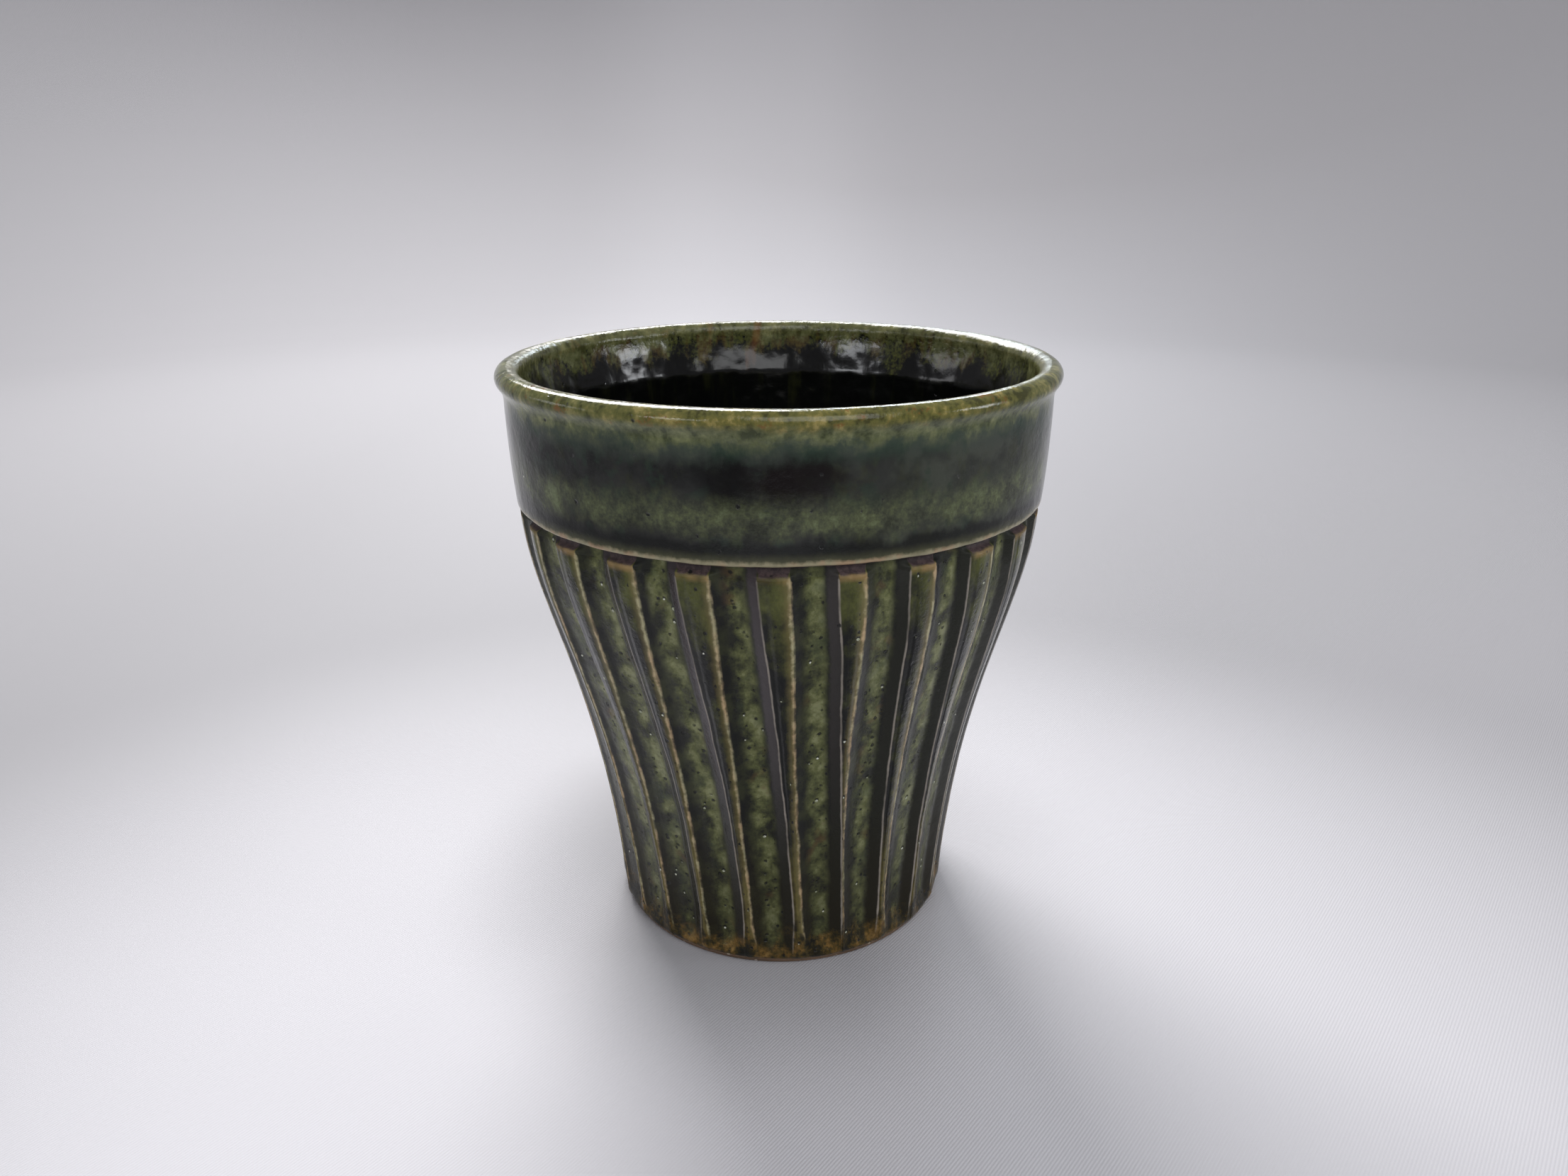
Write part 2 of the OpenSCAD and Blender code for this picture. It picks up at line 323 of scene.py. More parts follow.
    def underside(self):
        """Rows of the bare clay from under the edge of the glaze to the middle of the underside."""
        s, edge, inner = self.s, self.wall_foot_r - self.s.glaze, self.ring_r
        foot, ring, hollow = self.foot_round, self.ring_round, self.hollow_round
        rows = [(edge, s.bare_height), (edge - 0.1 * MM, 0.75 * MM)]
        rows += arc((self.foot_r - foot, foot), foot, 12, -90, 6)
        rows += [(inner + (self.foot_r - inner) * share, 0) for share in (0.75, 0.6, 0.45, 0.3)]
        rows += arc((inner + ring, ring), ring, -90, -180, 5)
        rows += arc((inner - hollow, s.foot_recess - hollow), hollow, 0, 90, 5)
        reach = rows[-1][0]
        rows += [(reach * (1 - i / 46), s.foot_recess) for i in range(1, 47)]
        return rows

    def moved(self, rows, distance):
        """Rows moved to their own left."""
        made = []
        for i, (r, z) in enumerate(rows):
            a, b = Vector(rows[max(i - 1, 0)]), Vector(rows[min(i + 1, len(rows) - 1)])
            along = (b - a).normalized()
            made.append((max(0.0, r - along.y * distance), z + along.x * distance))
        return made

    def flute(self, n, up):
        """Middle and half width of a flute at a height, in degrees."""
        drift = steps(((0, FOOT_DRIFT[n]), (0.5, MIDDLE_DRIFT[n]), (1, TOP_DRIFT[n])), up)
        middle = -90 + (n + self.first_share + drift) * self.spacing
        middle += (1 - up) * math.degrees(self.s.flute_lean)
        middle += 0.22 * ripple(n * 3.7, up * 8, 1.3) + 0.09 * ripple(n * 5.1, up * 27, 7.7)
        half = math.degrees(math.asin(self.s.flute_width / 2 * steps(WIDTHS, up) / steps(self.radii, up)))
        half += 0.2 * ripple(n * 2.9, up * 9, 4.1) + 0.09 * ripple(n * 6.1, up * 31, 2.2)
        return middle, half

    def level(self, z):
        """Each column of points at a height: its angle, its place on the pattern's drum, its place
        across its flute, how far it is on the land, and its distance from both edges of the land."""
        up = self.up(z)
        if up in self.levels:
            return self.levels[up]
        r = steps(self.radii, up)
        flutes = [self.flute(n, up) for n in range(FLUTES)]
        starts = [middle - half for middle, half in flutes]
        ends = [middle + half for middle, half in flutes]
        for n in range(FLUTES):
            after = (n + 1) % FLUTES
            turn = 360 if after == 0 else 0
            short = self.least_land - (starts[after] + turn - ends[n])
            if short > 0:
                ends[n] -= short / 2
                starts[after] += short / 2
        made = []
        for n, (start, end) in enumerate(zip(starts, ends)):
            land = (starts[(n + 1) % FLUTES] - end) % 360
            flute_w, land_w = math.radians(end - start) * r, math.radians(land) * r
            for a in FLUTE_COLUMNS:
                drum = (n + FLUTE_SHARE * a) * self.spacing
                made.append((start + (end - start) * a, drum, a, 0.5 if a == 0 else 0.0,
                             (1 - a) * flute_w, a * flute_w))
            for b in LAND_COLUMNS:
                drum = (n + FLUTE_SHARE + (1 - FLUTE_SHARE) * b) * self.spacing
                made.append((end + land * b, drum, 1 - b, 0.5 if b == 0 else 1.0,
                             b * land_w, (1 - b) * land_w))
        self.levels[up] = made
        return made

    def line_cut(self, z):
        """Depth of the line cut under the collar, at a height."""
        share = (z - self.shoulder_z) / self.s.line_height
        return self.s.line_depth * steps(LINE, share) if 0 < share < 1 else 0.0

    def flute_cut(self, z):
        """Depth of the flutes at a height."""
        if z > self.collar_z:
            return 0.0
        top = smooth(0.7, 1.0, (z - self.shoulder_z) / self.s.line_height)
        return self.s.flute_depth * steps(RUN_OUT, self.up(z)) * (1 - top)

    def crest_dip(self, angle, z):
        """How far the uneven crest lies under its full height."""
        x, y = math.cos(angle), math.sin(angle)
        dip = 0.1 * (1 - y) + 0.05 * (1 + ripple(x * 1.3, y * 1.3, 3.1))
        dip += 0.03 * (1 + ripple(x * 6, y * 6, 8.2))
        return dip * MM * smooth(self.lip_z - 3 * MM, self.s.height, z)

    def under_lip(self, z):
        """1 well under the crest, falling to 0 close to it."""
        return smooth(self.s.height - 1 * MM, self.s.height - 5 * MM, z)

    def uneven(self, x, y, z):
        """How far the thrown wall stands back from its even form."""
        back = 0.07 * (1 + ripple(x * 2.1, y * 2.1, z / MM * 0.09))
        back += 0.02 * ripple(x * 9, y * 9, z / MM * 0.5)
        return back * MM * self.under_lip(z)

    def edge_wave(self, x, y, z):
        """How far the collar's lower edge and the cut line wander up."""
        wave = 0.13 * ripple(x * 7, y * 7, 2.6) + 0.06 * ripple(x * 23, y * 23, 6.6)
        near = smooth(self.shoulder_z - 3 * MM, self.shoulder_z, z)
        return wave * MM * (near * smooth(self.collar_z + 3 * MM, self.collar_z, z))

    def tool_marks(self, column, across, z):
        """Unevenness that the carving tool leaves down a flute."""
        n, up = column // FLUTE_AND_LAND, z / MM
        marks = 0.07 * ripple(n * 4.3, across * 2.2, up * 0.42)
        return (marks + 0.035 * ripple(n * 7.9, across * 5, up * 1.1)) * MM

    def carved(self, column, across, land, z, shown):
        """How deep the flute, the rounded edge of the land or the line is cut at a point."""
        edge = self.edge_round * smooth(self.collar_z, self.shoulder_z, z)
        if land < 1:
            depth, hollow = self.flute_cut(z), steps(HOLLOW, across)
            cut = edge + max(0.0, depth - edge) * hollow
            if shown and depth > 0:
                cut += self.tool_marks(column, across, z) * hollow * depth / self.s.flute_depth
        else:
            cut = edge * abs(2 * across - 1) ** 3
        return max(cut, self.line_cut(z))

    def outside_point(self, place, glazed, column, shown):
        """A point of the outer glaze or of the clay under it, and what the glaze's pattern needs."""
        z = glazed[1]
        degrees, drum, across, land, to_left, to_right = self.level(z)[column]
        angle, turn = math.radians(degrees), math.radians(drum)
        x, y = math.cos(angle), math.sin(angle)
        r = place[0] - self.carved(column, across, land, z, shown) - self.uneven(x, y, z)
        up = place[1] - self.crest_dip(angle, z) + self.edge_wave(x, y, z)
        pattern = Vector((DRUM_R * math.cos(turn), DRUM_R * math.sin(turn), z / MM))
        return Vector((r * x, r * y, up)), (pattern, across, land, to_left / MM, to_right / MM)


def wrapped(columns, rows, place):
    """A sheet of rows and columns wrapped round the axis, each point put in its place."""
    bm = bmesh.new()
    drum = bm.verts.layers.float_vector.new("drum")
    numbers = [bm.verts.layers.float.new(name) for name in ("across", "land", "left_edge", "right_edge")]
    bmesh.ops.create_grid(bm, x_segments=columns, y_segments=rows - 1, size=1)
    for v in bm.verts:
        column = round((v.co.x + 1) / 2 * columns)
        row = round((v.co.y + 1) / 2 * (rows - 1))
        v.co, pattern = place(row, column % columns)
        v[drum] = pattern[0]
        for layer, number in zip(numbers, pattern[1:]):
            v[layer] = number
    bmesh.ops.remove_doubles(bm, verts=bm.verts, dist=0.001 * MM)
    return bm


def edge_share(distance, reach):
    """1 on an edge, falling evenly to 0 at the reach from it."""
    return max(0.0, 1 - distance / reach)


def round_point(place, angle, z):
    """A point of a plain round row, with its place on the pattern's drum."""
    x, y = math.cos(angle), math.sin(angle)
    pattern = Vector((DRUM_R * x, DRUM_R * y, z / MM))
    return Vector((place[0] * x, place[0] * y, place[1])), (pattern, 0.0, 1.0, 0.0, 0.0)


def finished(bm, name, material, node):
    """A piece of a bmesh: closed, facing outwards and riding on the cup."""
    bmesh.ops.recalc_face_normals(bm, faces=bm.faces)
    for face in bm.faces:
        face.smooth = True
    for edge in bm.edges:
        edge.smooth = edge.is_manifold and edge.calc_face_angle() < math.radians(58)
    mesh = bpy.data.meshes.new(name)
    bm.to_mesh(mesh)
    bm.free()
    mesh.materials.append(material)
    piece = bpy.data.objects.new(name, mesh)
    bpy.context.scene.collection.objects.link(piece)
    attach(piece, "root")
    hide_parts(node)
    return piece


class Number:
    """A number that a material works out at each point. Reckoning with it adds nodes."""

    def __init__(self, g, socket):
        self.g, self.socket = g, socket

    def __add__(self, other):
        return self.g.sum("ADD", self, other)

    def __sub__(self, other):
        return self.g.sum("SUBTRACT", self, other)

    def __rsub__(self, other):
        return self.g.sum("SUBTRACT", other, self)

    def __mul__(self, other):
        return self.g.sum("MULTIPLY", self, other)

    def __lt__(self, other):
        return self.g.sum("LESS_THAN", self, other)

    def __abs__(self):
        return self.g.sum("ABSOLUTE", self)

    def rise(self, low, high, start=0.0, end=1.0):
        """start where this is low, end where it is high and a smooth change between them."""
        inputs = {"Value": self, "From Min": low, "From Max": high, "To Min": start, "To Max": end}
        return Number(self.g, self.g.node("MapRange", inputs, interpolation_type="SMOOTHSTEP").outputs[0])

    def sway(self, width):
        """This number from 0 to 1 spread over a width, with 0 in its middle."""
        return (self - 0.5) * width


class Recipe:
    """A material's nodes, added by short calls."""

    def __init__(self, name):
        self.material = bpy.data.materials.new(name)
        self.material.use_nodes = True
        self.tree = self.material.node_tree
        self.tree.nodes.clear()

    def feed(self, socket, value):
        """Joins a socket to another, or sets its value."""
        if isinstance(value, Number):
            value = value.socket
        if isinstance(value, bpy.types.NodeSocket):
            self.tree.links.new(value, socket)
        elif socket.type == "RGBA":
            socket.default_value = (*value[:3], 1)
        else:
            socket.default_value = value

    def node(self, kind, inputs, **settings):
        """A node with its settings and inputs."""
        made = self.tree.nodes.new("ShaderNode" + kind)
        for key, value in settings.items():
            setattr(made, key, value)
        for key, value in inputs.items():
            self.feed(made.inputs[key], value)
        return made

    def sum(self, operation, a, b=0.0):
        """One sum of two numbers."""
        return Number(self, self.node("Math", {0: a, 1: b}, operation=operation).outputs[0])

    def mix(self, share, a, b):
        """Colour a turning into colour b as the share goes to 1."""
        return self.node("Mix", {0: share, 6: a, 7: b}, data_type="RGBA").outputs[2]

    def scaled(self, place, stretch):
        """A place stretched along its axes."""
        return self.node("VectorMath", {0: place, 1: stretch}, operation="MULTIPLY").outputs[0]

    def shifted(self, place, move):
        """A place moved along its axes."""
        return self.node("VectorMath", {0: place, 1: move}, operation="ADD").outputs[0]

    def parts(self, place):
        """The three numbers of a place."""
        return [Number(self, part) for part in self.node("SeparateXYZ", {0: place}).outputs]

    def distance(self, place, middle, stretch=(1, 1, 1)):
        """Distance from a middle in space that is stretched along its axes."""
        away = self.scaled(self.shifted(place, tuple(-part for part in middle)), stretch)
        return Number(self, self.node("VectorMath", {0: away}, operation="LENGTH").outputs[1])

    def cloud(self, place, scale, detail=2.0, rough=0.5, seed=0.0):
        """Cloudy noise from 0 to 1."""
        inputs = {"Vector": place, "W": seed, "Scale": scale, "Detail": detail, "Roughness": rough}
        return Number(self, self.node("TexNoise", inputs, noise_dimensions="4D").outputs[0])

    def spots(self, place, scale):
        """Distance from the nearest of scattered points, and a random number for each point."""
        made = self.node("TexVoronoi", {"Vector": place, "Scale": scale})
        which = self.node("SeparateColor", {0: made.outputs["Color"]}).outputs[0]
        return Number(self, made.outputs["Distance"]), Number(self, which)

    def carried(self, name):
        """A number that the piece's points carry."""
        return Number(self, self.node("Attribute", {}, attribute_name=name).outputs["Fac"])

    def drum(self):
        """Place on the pattern's drum, in millimetres, and the height there."""
        place = self.node("Attribute", {}, attribute_name="drum").outputs["Vector"]
        return place, self.parts(place)[2]

    def place_mm(self):
        """Place on the piece, in millimetres."""
        return self.scaled(self.node("TexCoord", {}).outputs["Object"], (1000, 1000, 1000))

    def bands(self, value, low, high, stops):
        """Colours against a value: each stop is a value and its colour."""
        share = self.node("MapRange", {"Value": value, "From Min": low, "From Max": high}).outputs[0]
        made = self.node("ValToRGB", {0: share})
        ramp = made.color_ramp.elements
        for element, (at, colour) in zip(ramp, (stops[0], stops[-1])):
            element.position, element.color = (at - low) / (high - low), (*colour, 1)
        for at, colour in stops[1:-1]:
            ramp.new((at - low) / (high - low)).color = (*colour, 1)
        return made.outputs[0]

    def surface(self, colour, rough, height, ior=1.5):
        """Ends the material: its colour, its roughness and the height of its relief in millimetres."""
        bump = self.node("Bump", {"Height": height, "Strength": 1.0, "Distance": MM}).outputs[0]
        inputs = {"Base Color": colour, "Roughness": rough, "IOR": ior, "Normal": bump}
        self.node("OutputMaterial", {0: self.node("BsdfPrincipled", inputs).outputs[0]})
        return self.material


def blend(a, b, share):
    """A colour part of the way from a to b."""
    return tuple((1 - share) * x + share * y for x, y in zip(a, b))


class Coat:
    """A colour that others are laid over."""

    def __init__(self, g, colour):
        self.g, self.colour = g, colour

    def lay(self, share, colour):
        """Lays a colour over this one, fully where the share is 1."""
        self.colour = self.g.mix(share, self.colour, colour)


BLACK = (0, 0, 0)

# Tones of the glaze on the collar and the lip; the lighter smoke on the right and the olive and cream over
# the collar's edge carry painted light
SMOKE, SMOKE_PAINTED_LIGHT_ON_RIGHT = (0.021, 0.0215, 0.0205), (0.045, 0.05, 0.039)
TEAL = (0.018, 0.033, 0.022)
HALO_GREY = (0.04, 0.05, 0.04)
MILK, PALE_MILK = (0.045, 0.06, 0.042), (0.09, 0.1, 0.055)
# Olive over the collar's lower edge and its pale line: partly broken glaze, partly a painted highlight
OVER_EDGE_SHEEN = (0.075, 0.076, 0.038)
EDGE_CREAM_HIGHLIGHT, EDGE_TAN = (0.3, 0.27, 0.17), (0.33, 0.23, 0.14)
INNER_BROWN, INNER_LIP = (0.07, 0.04, 0.01), (0.05, 0.03, 0.004)
# Tones of the glaze on the fluted wall, among them a painted sheen, painted shade and painted highlights
DARK_GOLD, GOLD = (0.035, 0.027, 0.006), (0.14, 0.115, 0.028)
LIGHTEST_GREEN, AMBER = (0.2, 0.21, 0.1), (0.1, 0.055, 0.02)
DARK_WALL, PAINTED_SHEEN_WALL = (0.011, 0.012, 0.007), (0.036, 0.028, 0.03)
PAINTED_SHADE_UMBER = (0.011, 0.008, 0.002)
RIDGE_GLOW, RIDGE_CREAM, RIDGE_TAN = (0.15, 0.122, 0.045), (0.4, 0.37, 0.22), (0.46, 0.33, 0.19)
EDGE_HIGHLIGHT_GREY = (0.3, 0.28, 0.27)
CUT_ROSE = (0.075, 0.05, 0.05)
PAINTED_GLINT_GREEN, PAINTED_GLINT_WHITE = (0.3, 0.32, 0.22), (0.75, 0.76, 0.68)
GROG = (0.42, 0.36, 0.28)

# Mottling: each step is a value of cloudy noise and its colour, from thick glaze to thin
LIP_GREENS = ((0.41, (0.045, 0.055, 0.02)), (0.47, (0.095, 0.108, 0.045)),
              (0.54, (0.14, 0.155, 0.07)), (0.61, (0.21, 0.22, 0.1)))
LIP_OCHRES = ((0.41, (0.05, 0.048, 0.014)), (0.47, (0.1, 0.098, 0.028)),
              (0.54, (0.145, 0.13, 0.036)), (0.61, (0.27, 0.22, 0.075)))
BAND_GREENS = ((0.54, (0.03, 0.033, 0.02)), (0.62, (0.055, 0.062, 0.037)),
               (0.7, (0.09, 0.103, 0.05)), (0.8, (0.15, 0.18, 0.09)))
FOOT_BROWNS = ((0.6, (0.005, 0.0045, 0.002)), (0.68, (0.017, 0.013, 0.003)),
               (0.75, (0.055, 0.036, 0.007)), (0.82, (0.115, 0.063, 0.013)), (0.9, (0.2, 0.12, 0.035)))
# Painted dark reflections on the front of the collar, of a dark thing in front of the cup: middle, stretch,
# distances where each starts and is full, share, tone
PAINTED_DARK_REFLECTIONS = (((-6.8, -42.6, 85), (1, 1, 0.6), 4.6, 1.8, 0.95, (0.001, 0.0008, 0.0008)),
              ((2, -43, 85.8), (0.5, 1, 1), 4.8, 1.5, 0.9, (0.003, 0.001, 0.001)))


def lip_colour(g, c, here, z, crest):
    """Olive glaze round the lip that turns to ochre at the crest in front, with grains of rust."""
    x, y = g.parts(here)[:2]
    front = (g.cloud(here, 0.06, 2, seed=4) * 30 - y).rise(18, 50)
    grain = g.cloud(here, 0.65, 4, 0.62, seed=1)
    run = g.cloud(g.scaled(here, (1, 1, 0.55)), 0.5, 3, 0.55, seed=17)
    high = (z + run.sway(3)).rise(crest - 3.1, crest - 1.7)
    iron = g.cloud(here, 0.3, 4, 0.7, seed=2).rise(0.55, 0.64) * grain.rise(0.4, 0.56) * high
    coat = Coat(g, g.bands(grain * 0.5 + run * 0.5, 0.36, 0.66, LIP_GREENS))
    ochre = g.bands(grain * 0.65 + run * 0.35, 0.36, 0.66, LIP_OCHRES)
    coat.lay(high * (front * x.rise(-34, -8, 0.3, 0.8) + 0.2), ochre)
    coat.lay(iron * (front * 0.6 + 0.2), c.rust)
    return coat.colour


class Outside:
    """Places and clouds that the pattern of the outer glaze is made of, in millimetres."""

    def __init__(self, g, form):
        self.crest, self.edge = form.s.height / MM, form.collar_z / MM
        self.shoulder = form.shoulder_z / MM
        self.drum, self.z = g.drum()
        self.here = g.place_mm()
        self.x, self.y = g.parts(self.here)[:2]
        self.across, self.land = g.carried("across"), g.carried("land")
        self.left_edge, self.right_edge = g.carried("left_edge"), g.carried("right_edge")
        self.slow = g.cloud(self.drum, 0.06, 2, seed=1)
        self.blotch = g.cloud(self.drum, 0.26, 3, 0.55, seed=2)
        self.streak = g.cloud(g.scaled(self.drum, (1, 1, 0.14)), 0.55, 3, 0.55, seed=3)
        self.mottle = g.cloud(g.scaled(self.here, (1, 1, 0.75)), 0.34, 5, 0.6, seed=4)
        self.fine = g.cloud(self.here, 1.7, 4, 0.6, seed=5)
        self.grain = g.cloud(self.here, 5.5, 2, 0.5, seed=6)
        self.patch = g.cloud(self.here, 0.13, 3, 0.5, seed=7)
        self.often = g.cloud(g.scaled(self.here, (1, 1, 0.5)), 0.2, 3, 0.6, seed=15)
        self.worn = g.cloud(self.here, 0.7, 3, 0.6, seed=10).sway(1)
        self.drip = self.blotch.sway(3) + self.slow.sway(1.5) + self.streak.sway(1.2)
        self.on_wall = self.z.rise(self.shoulder + 0.8, self.shoulder - 1.2)


def collar_colour(g, at, c):
    """Smoky dark glaze with a mottled green band low down, greener up to the lip, with painted light on its
    right side and painted dark reflections in front.
    """
    edge, crest, blotch, mottle = at.edge, at.crest, at.blotch, at.mottle
    coat = Coat(g, c.deep)
    coat.lay(g.cloud(at.drum, 0.15, 4, 0.55, seed=8).rise(0.36, 0.6), SMOKE)
    # Lighter smoke on the cup's right side, mottled by the blotches: painted light falling from the right
    coat.lay(at.x.rise(2, 22) * blotch.rise(0.35, 0.6, 0.35, 1), SMOKE_PAINTED_LIGHT_ON_RIGHT)
    coat.lay(g.cloud(at.drum, 0.3, 3, 0.6, seed=18).rise(0.5, 0.62, 0, 0.5), TEAL)
    coat.lay((mottle + at.patch.sway(0.5)).rise(0.5, 0.66, 0, 0.35), blend(c.deep, c.green, 0.5))
    # Painted dark reflections on the front of the collar
    for middle, stretch, start, full, share, tone in PAINTED_DARK_REFLECTIONS:
        bled = g.distance(at.here, middle, stretch) + blotch.sway(7)
        coat.lay(bled.rise(start, full, 0, share), tone)
    level = at.z + at.drip
    band = level.rise(edge + 2.8, edge + 5.8) * level.rise(edge + 10.8, edge + 6.2)
    mottling = mottle * 0.6 + blotch * 0.3 + at.fine * 0.4
    coat.lay(band * at.slow.rise(0.3, 0.55, 0.6, 1), g.bands(mottling, 0.48, 0.86, BAND_GREENS))
    rim = level + mottle.sway(3)
    coat.lay(rim.rise(crest - 8.4, crest - 5.6, 0, 0.8), g.mix(blotch.rise(0.4, 0.6), c.halo, HALO_GREY))
    coat.lay(rim.rise(crest - 6.7, crest - 4.4), g.mix(mottle.rise(0.4, 0.6), MILK, PALE_MILK))
    lip = lip_colour(g, c, at.here, at.z, crest)
    coat.lay((rim + at.fine.sway(1.5)).rise(crest - 5.5, crest - 3.8), lip)
    coat.lay(level.rise(edge + 3.6, edge + 2.4, 0, 0.85), c.deep)
    return coat.colour


def land_colour(g, at, c):
    """Olive at the tops of the lands, golden towards the foot, dark between and darker on the left."""
    top = (at.z + at.drip * 2.4).rise(58, 71)
    low = (at.z + at.drip * 3).rise(28, 11)
    mottling = at.mottle * 0.85 + at.patch * 0.15 + top * 0.165 + at.streak * 0.1
    mottling += at.z.rise(22, 40, 0, -0.02) + at.across.rise(0.3, 1, 0.02, -0.06)
    coat = Coat(g, g.bands(mottling, 0.44, 0.88, (
        (0.5, c.deep), (0.61, blend(c.deep, c.olive, 0.28)), (0.7, blend(c.deep, c.olive, 0.75)),
        (0.78, blend(c.olive, c.pale, 0.1)), (0.86, blend(c.olive, c.pale, 0.5)))))
    coat.lay(low * 0.85, g.mix(at.mottle.rise(0.35, 0.6), DARK_GOLD, GOLD))
    return coat.colour


def flute_colour(g, at, c, pooled, to_wall):
    """Dark on the left, mottled green where the glaze pools, and a smooth dark wall on the right that carries
    a painted purple-grey sheen on the cup's left half.
    """
    cloud = g.cloud(g.scaled(at.here, (1, 1, 0.8)), 0.36, 4, 0.52, seed=19)
    mottling = cloud * 1.1 + at.patch * 0.2 + at.fine * 0.34 - 0.175 + at.across.rise(0.25, 0.55, -0.05, 0.04)
    pool = Coat(g, g.bands(mottling, 0.46, 0.9, (
        (0.5, blend(c.deep, c.green, 0.1)), (0.58, blend(c.deep, c.green, 0.45)),
        (0.66, blend(c.deep, c.green, 0.95)), (0.75, blend(c.green, c.pale, 0.6)), (0.86, LIGHTEST_GREEN))))
    tint = g.cloud(at.here, 0.16, 3, 0.6, seed=9)
    pool.lay(tint.rise(0.56, 0.68, 0, 0.45), blend(c.halo, c.green, 0.4))
    pool.lay(tint.rise(0.42, 0.32, 0, 0.5), AMBER)
    coat = Coat(g, g.mix(at.mottle.rise(0.4, 0.65), c.deep, blend(c.deep, c.green, 0.3)))
    coat.lay(pooled, pool.colour)
    # Painted reflection: a purple-grey sheen on the flutes' right walls on the cup's left half, higher up
    painted_sheen_on_left = at.x.rise(20, -6) * at.z.rise(18, 50)
    coat.lay(to_wall.rise(0.74, 0.84), g.mix(painted_sheen_on_left, DARK_WALL, PAINTED_SHEEN_WALL))
    return coat.colour


def break_glaze_and_paint_edge_highlight(g, at, c, coat):
    """Breaks the glaze over the edges of the lands: a thin pale line on the left, partly thin glaze and
    partly a painted highlight on the sharp edge that is stronger on the cup's right half, a wider tan one on
    the right and one along the top."""
    on_top = at.land.rise(0.25, 0.75)
    faint = g.cloud(at.here, 0.5, 3, 0.6, seed=20).rise(0.4, 0.58, 0.25, 1)
    right = at.right_edge + at.worn * 0.6 + at.z.rise(20, 72, -0.12, 0.05)
    coat.lay(right.rise(0.12, 0.8, 0, 0.62) * on_top, RIDGE_GLOW)
    core = g.mix(at.often.rise(0.4, 0.6), RIDGE_CREAM, RIDGE_TAN)
    coat.lay(right.rise(0.66, 1) * on_top * faint, core)
    in_flute = (at.right_edge + at.worn * 0.3).rise(0.78, 1) * (1 - on_top)
    coat.lay(in_flute * faint * 0.7, core)
    # Left edge line: thin glaze with a painted highlight, stronger on the cup's right half
    left = (at.left_edge + at.worn * 0.2).rise(0.78, 0.98) * at.often.rise(0.3, 0.55, 0.3, 0.8)
    coat.lay(left * at.x.rise(-26, 2, 0.5, 1), blend(c.tan, EDGE_HIGHLIGHT_GREY, 0.75))
    top = at.z.rise(at.shoulder - 1.3, at.shoulder - 0.3) * at.z.rise(at.shoulder + 0.3, at.shoulder)
    coat.lay(top * at.land.rise(0.4, 0.8) * at.often.rise(0.35, 0.6, 0.1, 0.8), blend(c.tan, c.rust, 0.35))


def colour_line(g, at, c, coat):
    """Colours the line cut under the collar, which shows above the lands only."""
    wavy = at.z + at.worn * 0.6 + (1 - at.land) * (at.left_edge + at.right_edge - 1) * 1.1
    cut = wavy.rise(at.shoulder - 0.1, at.shoulder + 0.25) * at.z.rise(at.edge, at.edge - 0.3)
    coat.lay(cut, g.mix(at.fine.rise(0.4, 0.6), c.line, CUT_ROSE))


def paint_collar_edge_and_highlight(g, at, coat):
    """The collar's lower edge: a pale line with olive over it, partly glaze broken over the edge and partly a
    painted highlight on its round.
    """
    over = at.z.rise(at.edge - 0.2, at.edge)
    # Partly broken glaze, partly a painted highlight on the edge's round
    coat.lay(over * (at.z + at.worn * 0.8).rise(at.edge + 2.2, at.edge + 0.2) * 0.85, OVER_EDGE_SHEEN)
    line = over * (at.z + at.worn * 1.1).rise(at.edge + 1, at.edge + 0.3)
    cream = g.mix(at.often.rise(0.5, 0.62), EDGE_CREAM_HIGHLIGHT, EDGE_TAN)
    coat.lay(line * at.often.rise(0.35, 0.55, 0.6, 1), cream)


